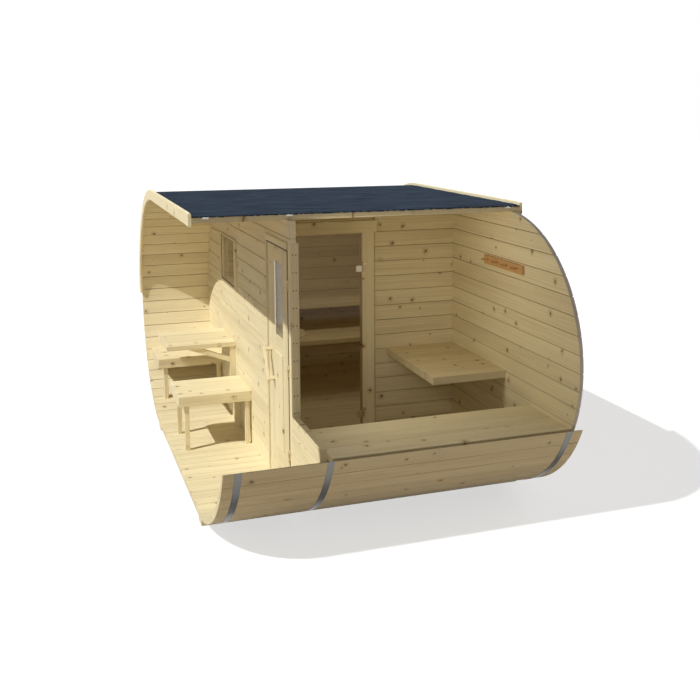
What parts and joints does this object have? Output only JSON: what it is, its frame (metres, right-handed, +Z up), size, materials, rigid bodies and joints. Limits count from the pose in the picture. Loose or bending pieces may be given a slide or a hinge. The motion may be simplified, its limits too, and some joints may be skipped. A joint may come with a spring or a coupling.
{
  "type": "outdoor barrel sauna, cut open",
  "caption": "Wide oval barrel sauna of spruce staves, opened on its near side, with a porch, a changing room and a sauna room behind a hinged glass door.",
  "frame": {"origin": "centre of the bounding box on the ground, under the skids", "axes": "+X along the staves from the porch to the end wall, +Y across from the opened near side to the far side, +Z up"},
  "size_m": [2.504, 4.4708, 2.185],
  "materials": {
    "spruce": "matte",
    "alder": "satin",
    "steel": "satin",
    "felt": "matte",
    "clear_glass": "gloss",
    "bronze_glass": "gloss"
  },
  "bodies": {
    "building": {"floor": "spruce", "far_wall_1": "spruce", "far_wall_2": "spruce", "far_wall_3": "spruce", "far_wall_4": "spruce", "far_wall_5": "spruce", "far_wall_6": "spruce", "near_wall_1": "spruce", "near_wall_2": "spruce", "roof": "spruce", "front_fascia": "spruce", "rear_fascia": "spruce", "skids": "spruce", "front_wall": "spruce", "wall_over_door": "spruce", "wall_near_piece": "spruce", "door_near_post": "spruce", "door_far_jamb": "spruce", "door_head": "spruce", "door_sill": "spruce", "window_frame": "spruce", "partition_front": "spruce", "partition_rear": "spruce", "partition_over_door": "spruce", "sauna_front_jamb": "spruce", "sauna_rear_jamb": "spruce", "sauna_head": "spruce", "sauna_sill": "spruce", "end_wall": "spruce", "changing_bench": "spruce", "lower_bench": "spruce", "upper_bench": "spruce", "bench_ledgers": "spruce", "corner_table": "spruce", "porch_near_bench": "spruce", "porch_far_bench": "spruce", "porch_bench_legs": "spruce", "porch_table": "spruce", "table_bracket": "spruce", "straps": "steel", "roof_felt": "felt", "window_glass": "clear_glass", "entry_frame_hinges": "steel", "sauna_frame_hinges": "steel", "hook_rail": "alder"},
    "entry_door": {"entry_door": "spruce", "entry_door_glass": "clear_glass", "entry_door_handle": "alder", "entry_door_hinges": "steel"},
    "sauna_door": {"sauna_door": "bronze_glass", "sauna_door_knobs": "alder", "sauna_door_hinges": "steel"}
  },
  "joints": [
    {"name": "entry_door_hinge", "type": "hinge", "parent": "building", "child": "entry_door", "pos_m": [-0.594, -1.2235, 1.06], "axis": [0, 0, 1], "range_deg": [0, 95]},
    {"name": "sauna_door_hinge", "type": "hinge", "parent": "building", "child": "sauna_door", "pos_m": [0.339, -0.0975, 1.06], "axis": [0, 0, 1], "range_deg": [0, 95]}
  ]
}
